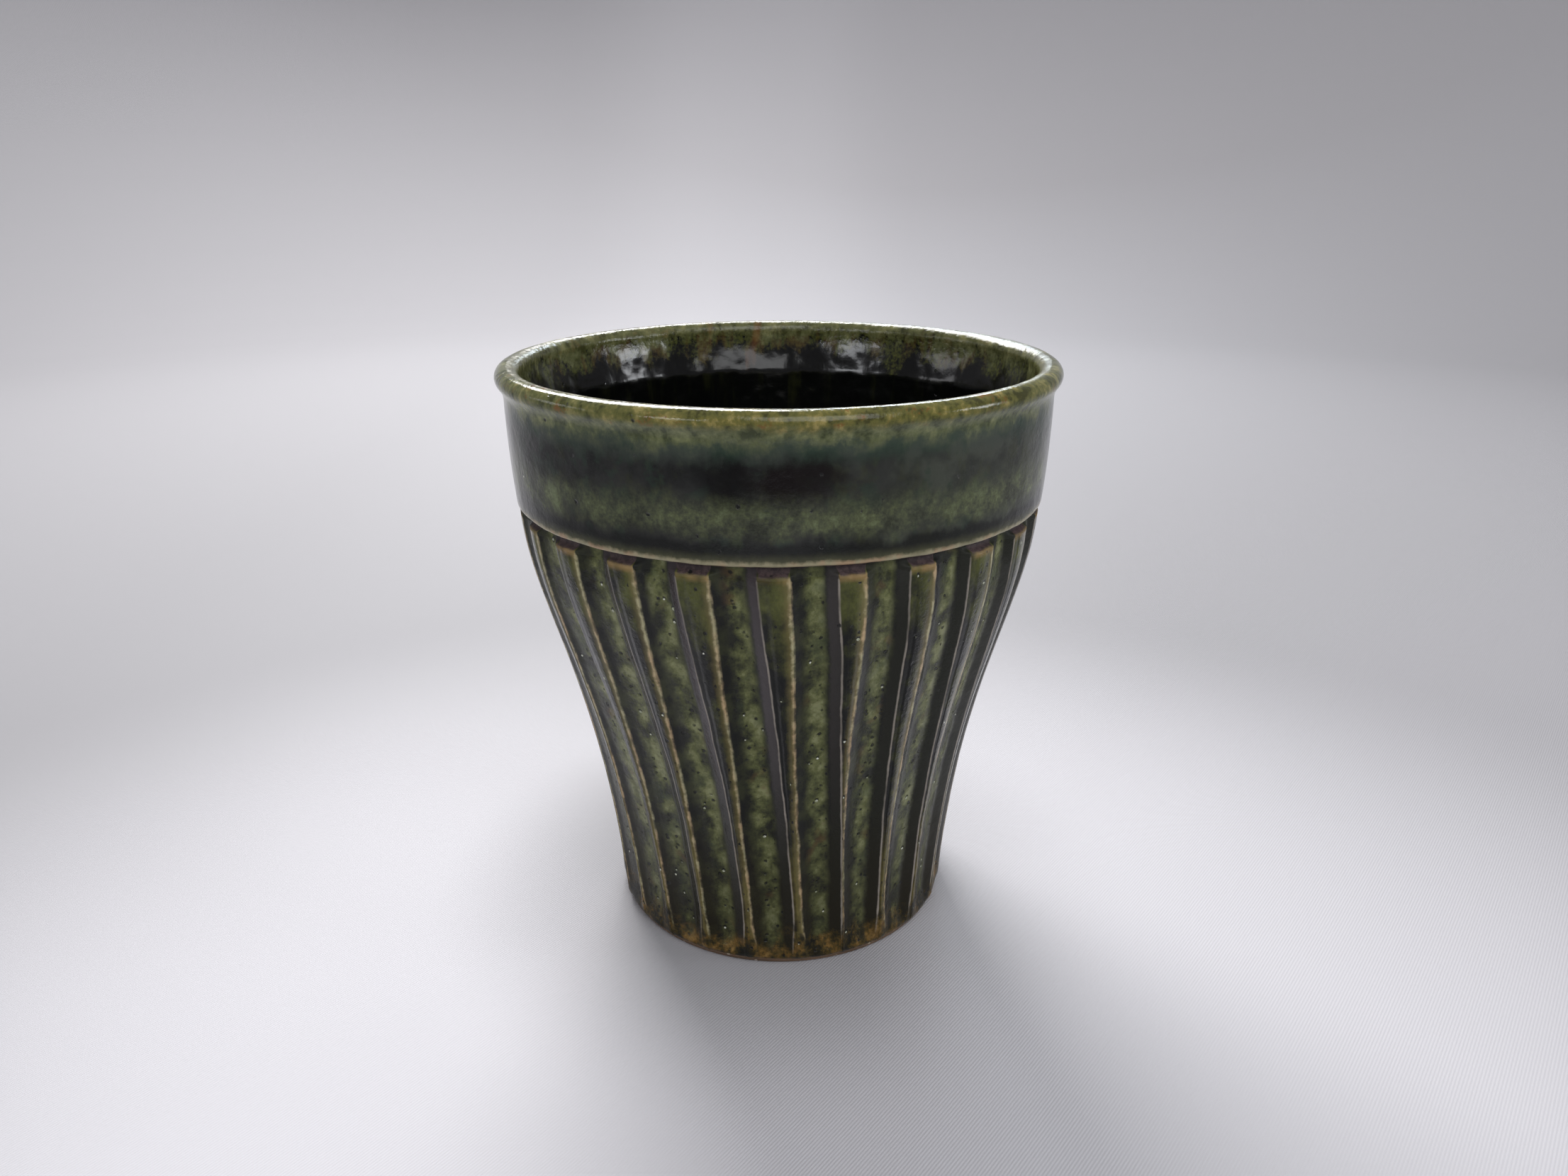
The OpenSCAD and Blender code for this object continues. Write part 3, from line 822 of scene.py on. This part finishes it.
def outer_material(c, form):
    """Mottled dark green glaze over the collar, the lands and the flutes."""
    g = Recipe("outer_glaze_coat")
    at = Outside(g, form)
    z, fine, mottle = at.z, at.fine, at.mottle
    # The dark wall is a little wider on the cup's right half: painted shade
    to_wall = at.across + fine.sway(0.14) + at.x.rise(0, 12, 0, 0.02)
    pooled = (at.across + at.streak.sway(0.2)).rise(0.12, 0.42) * to_wall.rise(0.8, 0.62)
    coat = Coat(g, flute_colour(g, at, c, pooled, to_wall))
    coat.lay(at.land.rise(0.3, 0.7), land_colour(g, at, c))
    # Painted shade: darker towards the foot, less so in the pools and on the lands
    coat.lay(z.rise(36, 6, 0, 0.75) * (1 - pooled * 0.5) * (1 - at.land * 0.3), PAINTED_SHADE_UMBER)
    break_glaze_and_paint_edge_highlight(g, at, c, coat)
    colour_line(g, at, c, coat)
    coat.lay(z.rise(at.edge - 0.25, at.edge - 0.05), collar_colour(g, at, c))
    paint_collar_edge_and_highlight(g, at, coat)
    foot = (z + at.blotch.sway(12) + mottle.sway(10) - at.land * 1.6).rise(6.6, 2.8)
    coat.lay(foot * 0.96, g.bands(fine * 0.45 + mottle, 0.5, 1, FOOT_BROWNS))

    # Pinholes, most of them in the flutes, some with a painted highlight below them
    chance = (pooled * 0.65 + foot * 0.2 + 0.01) * (at.on_wall * 0.9 + 0.1)
    away, which = g.spots(at.here, 0.75)
    hole = (which < chance) * (away + fine.sway(0.5)).rise(0.3, 0.12)
    away, which = g.spots(g.shifted(at.here, (0.02, 0, 0.26)), 0.75)
    painted_glint = (which < chance * 0.18) * (away + fine.sway(0.5)).rise(0.2, 0.11)
    coat.lay(hole * 0.9, c.deep)
    # Painted highlights on the pinholes' lower rims
    coat.lay(painted_glint, g.mix(fine.rise(0.4, 0.6), PAINTED_GLINT_GREEN, PAINTED_GLINT_WHITE))

    # The pool is rippled, and the crest is grainy at the back
    relief = painted_glint * 0.05 - hole * 0.1 + fine * 0.05 + at.grain * 0.006 + at.blotch * 0.16
    relief += (mottle + fine * 0.5) * pooled * at.on_wall * 0.24
    relief += fine * at.y.rise(0, 20) * z.rise(at.crest - 2.5, at.crest - 1) * 0.16
    in_line = z.rise(at.shoulder - 0.5, at.shoulder - 0.2) * z.rise(at.edge + 0.1, at.edge - 0.1)
    rough = fine * 0.1 + foot * 0.2 + in_line * 0.5 + z.rise(at.crest - 4, at.crest - 2, 0.05, 0.02)
    return g.surface(coat.colour, rough, relief, 1.36)


def inner_material(c, form):
    """Black glaze in the cup that thins to olive above the crease."""
    g = Recipe("inner_glaze_coat")
    place, z = g.drum()
    here = g.place_mm()
    crest, crease = form.s.height / MM, (form.s.height - form.s.crease_drop) / MM
    deep = blend(c.deep, BLACK, 0.5)
    blotch = g.cloud(g.scaled(place, (1, 1, 0.6)), 0.2, 4, 0.62, seed=11)
    streak = g.cloud(g.scaled(place, (1, 1, 0.1)), 0.4, 3, 0.6, seed=12)
    fine = g.cloud(here, 1.4, 4, 0.6, seed=13)
    level = z + blotch.sway(15) + fine.sway(4)
    upper = Coat(g, g.bands(fine + blotch.sway(0.5), 0.3, 0.7, (
        (0.35, deep), (0.45, blend(deep, c.green, 0.4)), (0.55, blend(deep, c.olive, 0.7)), (0.68, c.olive))))
    upper.lay(streak.rise(0.48, 0.62, 0, 0.6), INNER_BROWN)
    coat = Coat(g, deep)
    coat.lay(level.rise(crest - 6.4, crest - 3.6), upper.colour)
    coat.lay(level.rise(crest - 4, crest - 1.2), g.mix(0.22, lip_colour(g, c, here, z, crest), INNER_LIP))
    rust = g.cloud(g.scaled(place, (1, 1, 0.3)), 0.16, 2, seed=14).rise(0.62, 0.7)
    coat.lay(z.rise(crease - 0.5, crease + 1.5) * rust * 0.5, c.rust)
    coat.lay(z.rise(crease + 0.2, crease - 0.4), deep)
    runs = z.rise(crease + 0.2, crease - 0.6) * streak.rise(0.5, 0.72) * blotch.rise(0.4, 0.6)
    coat.lay(runs * 0.6, blend(deep, c.olive, 0.22))
    away, which = g.spots(here, 0.35)
    pit = (which < 0.15) * away.rise(0.14, 0.06)
    relief = g.cloud(here, 0.15, 2, seed=16) * 0.6 - pit * 0.06 + fine * 0.02 + streak * 0.03
    relief += fine * z.rise(crest - 4.5, crest - 2) * 0.12
    rough = fine * 0.14 + z.rise(crest - 4, crest - 2, 0.08, 0.02)
    return g.surface(coat.colour, rough, relief, 1.42)


def clay_material(c):
    """Bare brown clay with grog and trimming marks."""
    g = Recipe("fired_clay")
    here = g.place_mm()
    fine = g.cloud(here, 2.2, 4, 0.65)
    away, which = g.spots(here, 0.9)
    grog = (which < 0.25) * away.rise(0.3, 0.15)
    coat = Coat(g, c.clay)
    coat.lay(g.cloud(here, 0.12, 3).rise(0.35, 0.65), blend(c.clay, BLACK, 0.3))
    coat.lay(fine.rise(0.5, 0.7) * 0.5, c.rust)
    coat.lay(grog * 0.7, GROG)
    return g.surface(coat.colour, fine.rise(0.3, 0.7, 0.62, 0.85), fine * 0.12 + grog * 0.06)


def sweep_material(s):
    """Pale cloth with a fine diagonal weave. Painted shade darkens it far away and towards both sides, a
    painted shadow rings the cup's foot, a painted dark floor lies at the sides of the view and a painted dark
    card lies behind the camera, both seen in the glaze.
    """
    g = Recipe("sweep_cloth")
    here = g.place_mm()
    x, y = g.parts(here)[:2]
    away = g.distance(here, (0, 0, 0))
    near, far, painted_dark_beside = (blend(BLACK, s.backdrop, share) for share in (0.92, 0.53, 0.4))
    coat = Coat(g, near)
    # Painted shade: darker far away and behind the cup
    coat.lay((away + y * 0.5).rise(60, 220), far)
    # Painted shade: darker towards both sides
    coat.lay(x.rise(20, 130, 0, 0.08) + x.rise(-60, -200, 0, 0.12), BLACK)
    # Painted shadow round the cup's foot, stronger on its left
    coat.lay(away.rise(66, 28) * x.rise(10, 30, 0.38, 0.14), BLACK)
    # Painted shade: a dark floor at the sides of the view, seen in the cup's glaze
    coat.lay((abs(x) - y * 0.64).rise(140, 220), painted_dark_beside)
    # A dark card behind the camera, painted shade that stands in for the dark room seen in the glaze
    coat.lay(g.distance(here, (-35, -316, 0), (0.4, 1, 0)).rise(54, 16), s.card)
    twill = g.sum("SINE", (x - y * 0.8) * 11)
    coat.lay(twill * 0.016 + g.cloud(here, 0.01, 2) * 0.06, far)
    return g.surface(coat.colour, 0.75, twill * 0.015)


class CUP_OT_outer_coat(bpy.types.Operator):
    """Adds the coat of glaze on the outside of the cup"""

    bl_idname = "cup.outer_coat"
    bl_label = "Outer coat"

    def execute(self, context):
        form = Form(context.scene.cup_sizes)
        rows = [(p, p, True) for p in form.outside()]
        rows += [(*pair, False) for pair in reversed(form.under_outside())]

        def place(row, column):
            to, glazed, shown = rows[row % len(rows)]
            co, (drum, across, land, left, right) = form.outside_point(to, glazed, column, shown)
            on_wall = smooth(form.shoulder_z + 0.2 * MM, form.shoulder_z - 0.1 * MM, glazed[1])
            left, right = on_wall * edge_share(left, LEFT_REACH), on_wall * edge_share(right, RIGHT_REACH)
            return co, (drum, across, land, left, right)

        bm = wrapped(WALL_COLUMNS, len(rows) + 1, place)
        material = outer_material(context.scene.cup_colours, form)
        finished(bm, "outer_coat", material, "outer_glaze")
        return {"FINISHED"}


class CUP_OT_inner_coat(bpy.types.Operator):
    """Adds the coat of glaze inside the cup"""

    bl_idname = "cup.inner_coat"
    bl_label = "Inner coat"

    def execute(self, context):
        form = Form(context.scene.cup_sizes)
        rows = [(p, p) for p in reversed(form.inside())] + form.under_inside()

        def place(row, column):
            to, glazed = rows[row]
            angle = math.tau * column / LINING_COLUMNS
            x, y, z = math.cos(angle), math.sin(angle), glazed[1]
            thrown = 0.05 * ripple(x * 0.6, y * 0.6, z / MM * 0.55)
            thrown += 0.12 * ripple(x * 2.4, y * 2.4, z / MM * 0.12)
            thrown *= form.under_lip(z) * smooth(0, 8 * MM, to[0])
            moved = (to[0] - thrown * MM, to[1] - form.crest_dip(angle, z))
            return round_point(moved, angle, z)

        bm = wrapped(LINING_COLUMNS, len(rows), place)
        material = inner_material(context.scene.cup_colours, form)
        finished(bm, "inner_coat", material, "liner_glaze")
        return {"FINISHED"}


class CUP_OT_clay(bpy.types.Operator):
    """Adds the clay of the cup, which shows at the foot and on the underside"""

    bl_idname = "cup.clay"
    bl_label = "Clay"

    def execute(self, context):
        form = Form(context.scene.cup_sizes)
        flat_r = form.ring_r - form.hollow_round
        rows = [(*pair, "inside") for pair in reversed(form.under_inside()[1:])]
        rows += [(*pair, "outside") for pair in form.under_outside()]
        rows += [(p, p, "underside") for p in form.underside()]

        def place(row, column):
            to, glazed, part = rows[row]
            if part == "outside":
                return form.outside_point(to, glazed, column, False)
            angle = math.radians(form.level(0)[column][0])
            if part == "inside":
                return round_point((to[0], to[1] - form.crest_dip(angle, glazed[1])), angle, glazed[1])
            on_flat = smooth(flat_r, flat_r - 1.5 * MM, to[0])
            turned = 0.05 * math.sin(to[0] / MM * 4.2) * on_flat * smooth(0, 3 * MM, to[0])
            chatter = 0.04 * ripple(math.cos(angle) * 6, math.sin(angle) * 6, to[0] / MM * 0.4)
            up = to[1] + (turned + chatter * on_flat) * MM
            return round_point((to[0], max(0.0, up)), angle, to[1])

        bm = wrapped(WALL_COLUMNS, len(rows), place)
        finished(bm, "clay", clay_material(context.scene.cup_colours), "clay_body")
        return {"FINISHED"}


class CUP_OT_stage(bpy.types.Operator):
    """Adds the sweep, the lamps and the camera"""

    bl_idname = "cup.stage"
    bl_label = "Stage"

    def execute(self, context):
        s = context.scene.stage_settings
        self.add_sweep(s)
        self.add_lamps(s)
        self.add_camera(s)
        world = bpy.data.worlds.new("studio")
        world.use_nodes = True
        background = world.node_tree.nodes["Background"]
        background.inputs["Color"].default_value = (0.8, 0.8, 0.8, 1)
        background.inputs["Strength"].default_value = 0.45
        context.scene.world = world
        context.scene.view_settings.view_transform = "Standard"
        return {"FINISHED"}

    def add_sweep(self, s):
        """A round floor that curves up into a wall, with its faces turned to the cup."""
        floor, bend, height = 0.72, 0.3, 0.5
        profile = [(0.0, 0.0), (0.2, 0.0), (0.45, 0.0)] + [
            (x, y + bend) for x, y in arc((floor, 0.0), bend, -90, 0, 12)] + [(floor + bend, bend + height)]
        bm = bmesh.new()
        chain = [bm.verts.new((r, 0, z)) for r, z in profile]
        edges = [bm.edges.new(pair) for pair in zip(chain, chain[1:])]
        bmesh.ops.spin(bm, geom=chain + edges, cent=(0, 0, 0), axis=(0, 0, 1), angle=math.tau,
                       steps=96, use_merge=True)
        bmesh.ops.remove_doubles(bm, verts=bm.verts, dist=0.01 * MM)
        bmesh.ops.recalc_face_normals(bm, faces=bm.faces)
        for face in bm.faces:
            face.smooth = True
            if face.normal.z < 0 or (face.normal.z < 0.01 and face.normal.dot(face.calc_center_median()) > 0):
                face.normal_flip()
        mesh = bpy.data.meshes.new("sweep")
        bm.to_mesh(mesh)
        bm.free()
        mesh.materials.append(sweep_material(s))
        sweep = bpy.data.objects.new("sweep", mesh)
        bpy.context.scene.collection.objects.link(sweep)

    def add_lamps(self, s):
        """A large lamp over the back left and smaller ones in front, like a room's windows."""
        lamps = (
            ("key_lamp", (-0.22, 0.72, 0.68), (0.48, 0.46), 1.0 * s.key_power, (1.0, 0.99, 0.98)),
            ("low_lamp", (0.13, 0.8, 0.41), (0.22, 0.1), 0.08 * s.key_power, (0.85, 0.94, 1.0)),
            ("front_lamp", (0.2, -0.66, 0.72), (0.7, 0.7), 0.36 * s.key_power, (0.98, 0.99, 1.0)),
            ("window_right", (0.72, -0.12, 0.21), (0.2, 0.17), 1.0 * s.fill_power, (0.94, 0.97, 1.0)),
            ("window_front", (-0.42, -0.5, 0.28), (0.2, 0.12), 0.5 * s.fill_power, (0.94, 0.96, 1.0)),
            ("window_left", (-0.72, 0.02, 0.23), (0.3, 0.12), 0.25 * s.fill_power, (0.97, 0.97, 1.0)),
        )
        middle_of_cup = Vector((0, 0, 0.06))
        for name, place, size, power, colour in lamps:
            data = bpy.data.lights.new(name, "AREA")
            data.shape = "RECTANGLE"
            data.size, data.size_y = size
            data.energy = power
            data.color = colour
            lamp = bpy.data.objects.new(name, data)
            lamp.location = place
            lamp.rotation_euler = (middle_of_cup - Vector(place)).to_track_quat("-Z", "Y").to_euler()
            lamp.visible_camera = False
            bpy.context.scene.collection.objects.link(lamp)

    def add_camera(self, s):
        """A camera at the photo's viewing angle."""
        forward = Vector((math.sin(s.camera_yaw) * math.cos(s.camera_pitch),
                          math.cos(s.camera_yaw) * math.cos(s.camera_pitch), -math.sin(s.camera_pitch)))
        level = Vector((math.cos(s.camera_yaw), -math.sin(s.camera_yaw), 0))
        above = level.cross(forward)
        right = math.cos(s.camera_roll) * level + math.sin(s.camera_roll) * above
        up = math.cos(s.camera_roll) * above - math.sin(s.camera_roll) * level
        data = bpy.data.cameras.new("photo_camera")
        data.sensor_width = 36
        data.lens = s.lens
        data.clip_start = 0.01
        camera = bpy.data.objects.new("photo_camera", data)
        turned = Matrix((right, up, -forward)).transposed().to_4x4()
        camera.matrix_world = Matrix.Translation((0, -s.camera_back, s.camera_height)) @ turned
        bpy.context.scene.collection.objects.link(camera)
        bpy.context.scene.camera = camera


STEPS = (CUP_OT_outer_coat, CUP_OT_inner_coat, CUP_OT_clay, CUP_OT_stage)


class CUP_PT_panel(bpy.types.Panel):
    """Lists the steps that build the cup and its stage"""

    bl_label = "Fluted cup"
    bl_idname = "CUP_PT_panel"
    bl_space_type = "VIEW_3D"
    bl_region_type = "UI"
    bl_category = "Cup"

    def draw(self, context):
        for step in STEPS:
            self.layout.operator(step.bl_idname)
        for group in (context.scene.cup_sizes, context.scene.cup_colours, context.scene.stage_settings):
            box = self.layout.box()
            for name in group.__annotations__:
                box.prop(group, name)


CLASSES = (CupSizes, CupColours, StageSettings, *STEPS, CUP_PT_panel)


def register():
    for cls in CLASSES:
        bpy.utils.register_class(cls)
    bpy.types.Scene.cup_sizes = bpy.props.PointerProperty(type=CupSizes)
    bpy.types.Scene.cup_colours = bpy.props.PointerProperty(type=CupColours)
    bpy.types.Scene.stage_settings = bpy.props.PointerProperty(type=StageSettings)


def unregister():
    del bpy.types.Scene.stage_settings
    del bpy.types.Scene.cup_colours
    del bpy.types.Scene.cup_sizes
    for cls in reversed(CLASSES):
        bpy.utils.unregister_class(cls)


def main():
    """Builds the cup and its stage."""
    register()
    bpy.ops.cup.outer_coat()
    bpy.ops.cup.inner_coat()
    bpy.ops.cup.clay()
    bpy.ops.cup.stage()


if __name__ == "__main__":
    main()
